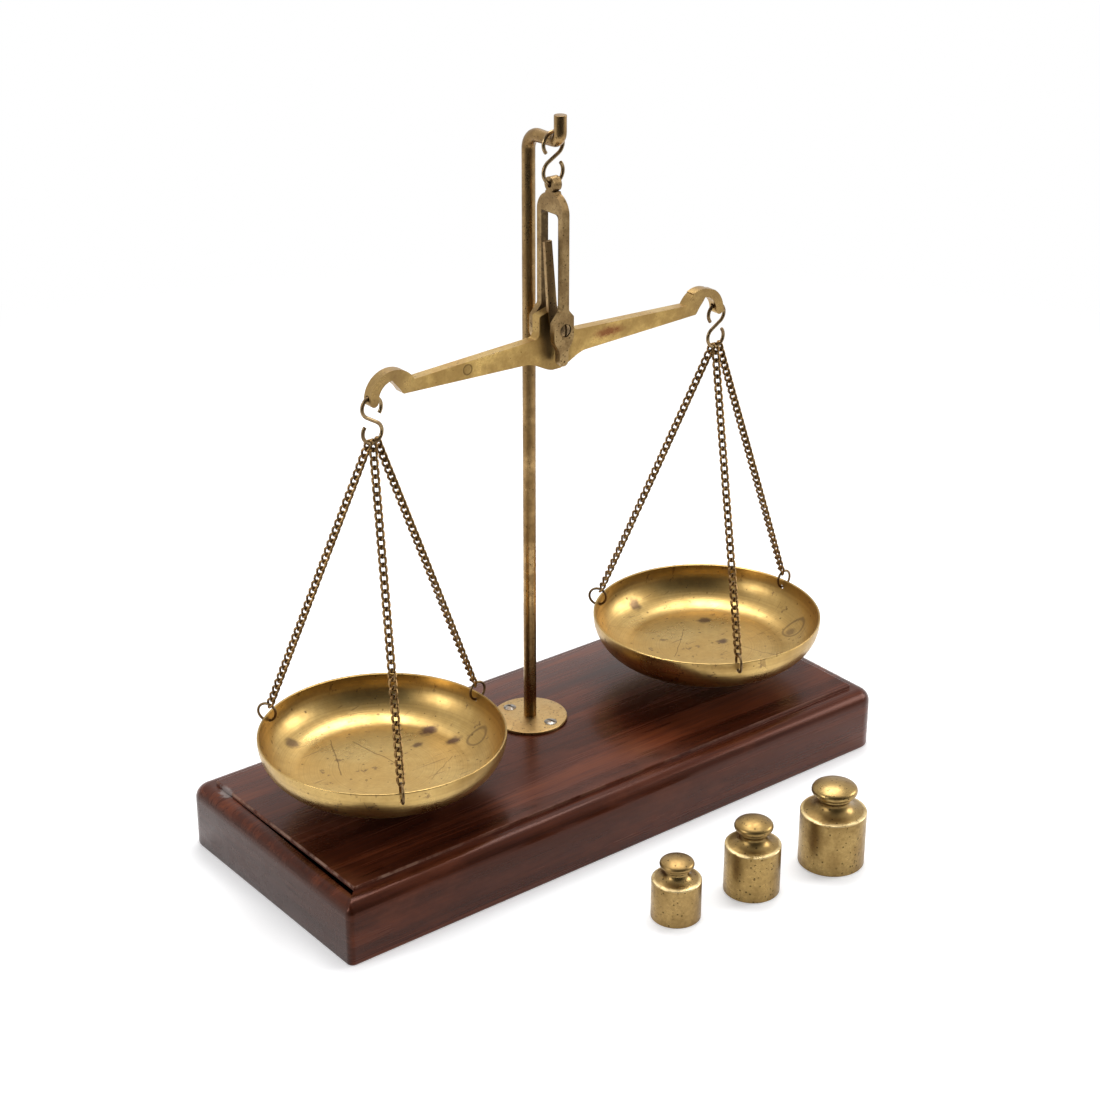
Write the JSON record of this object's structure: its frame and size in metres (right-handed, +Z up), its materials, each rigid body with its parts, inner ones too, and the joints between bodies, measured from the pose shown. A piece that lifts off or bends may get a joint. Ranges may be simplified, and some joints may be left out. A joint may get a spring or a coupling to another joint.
{
  "type": "beam balance",
  "caption": "Equal-arm beam balance: brass beam in a shackle, hung by hooks from a bent pillar on a mahogany plinth, with chained pans and loose brass weights.",
  "frame": {"origin": "middle of the plinth's underside", "axes": "+X along the plinth to the right pan, +Y to the back, +Z up"},
  "size_m": [0.3084, 0.2054, 0.3224],
  "materials": {
    "mahogany": "glossy varnish over a long straight grain",
    "brass": "aged, half polished, with pits and dark stains",
    "dark_brass": "brown patina",
    "steel": "dull grey, slotted heads"
  },
  "bodies": {
    "stand": {"base_plinth": "mahogany", "pillar_flange": "brass", "flange_screws": "steel", "pillar_rod": "dark_brass"},
    "suspension": {"top_s_hook": "dark_brass", "shackle": "dark_brass", "pivot_screws": "steel"},
    "beam_body": {"beam": "brass", "pointer": "brass"},
    "left_hook": {"left_s_hook": "dark_brass"},
    "left_pan_set": {"left_pan": "brass", "left_ring_side": "dark_brass", "left_ring_back": "dark_brass", "left_ring_front": "dark_brass", "left_chain_side": "dark_brass", "left_chain_back": "dark_brass", "left_chain_front": "dark_brass"},
    "right_hook": {"right_s_hook": "dark_brass"},
    "right_pan_set": {"right_pan": "brass", "right_ring_side": "dark_brass", "right_ring_back": "dark_brass", "right_ring_front": "dark_brass", "right_chain_side": "dark_brass", "right_chain_back": "dark_brass", "right_chain_front": "dark_brass"},
    "small_weight_body": {"small_weight": "brass"},
    "medium_weight_body": {"medium_weight": "brass"},
    "large_weight_body": {"large_weight": "brass"}
  },
  "joints": [
    {"name": "suspension_turn", "type": "hinge", "parent": "stand", "child": "suspension", "pos_m": [0.0024, -0.0023, 0.29745], "axis": [0, 0, 1], "range_deg": [-8, 8]},
    {"name": "beam_tilt", "type": "hinge", "parent": "suspension", "child": "beam_body", "pos_m": [0.0024, -0.0023, 0.22995], "axis": [0, 1, 0], "range_deg": [-6, 6]},
    {"name": "left_hook_plumb", "type": "hinge", "parent": "beam_body", "child": "left_hook", "pos_m": [-0.092, -0.0023, 0.21499], "axis": [0, 1, 0], "range_deg": [-6, 6]},
    {"name": "left_pan_swing", "type": "hinge", "parent": "left_hook", "child": "left_pan_set", "pos_m": [-0.092, -0.0023, 0.19929], "axis": [1, 0, 0], "range_deg": [-8, 8]},
    {"name": "right_hook_plumb", "type": "hinge", "parent": "beam_body", "child": "right_hook", "pos_m": [0.0968, -0.0023, 0.21499], "axis": [0, 1, 0], "range_deg": [-6, 6]},
    {"name": "right_pan_swing", "type": "hinge", "parent": "right_hook", "child": "right_pan_set", "pos_m": [0.0968, -0.0023, 0.19929], "axis": [1, 0, 0], "range_deg": [-8, 8]},
    {"name": "small_weight_lift", "type": "slide", "parent": "stand", "child": "small_weight_body", "axis": [0, 0, 1], "range_m": [0, 0.1]},
    {"name": "medium_weight_lift", "type": "slide", "parent": "stand", "child": "medium_weight_body", "axis": [0, 0, 1], "range_m": [0, 0.1]},
    {"name": "large_weight_lift", "type": "slide", "parent": "stand", "child": "large_weight_body", "axis": [0, 0, 1], "range_m": [0, 0.1]}
  ],
  "couplings": [
    {"joint": "left_hook_plumb", "follows": "beam_tilt", "ratio": -1},
    {"joint": "right_hook_plumb", "follows": "beam_tilt", "ratio": -1}
  ]
}
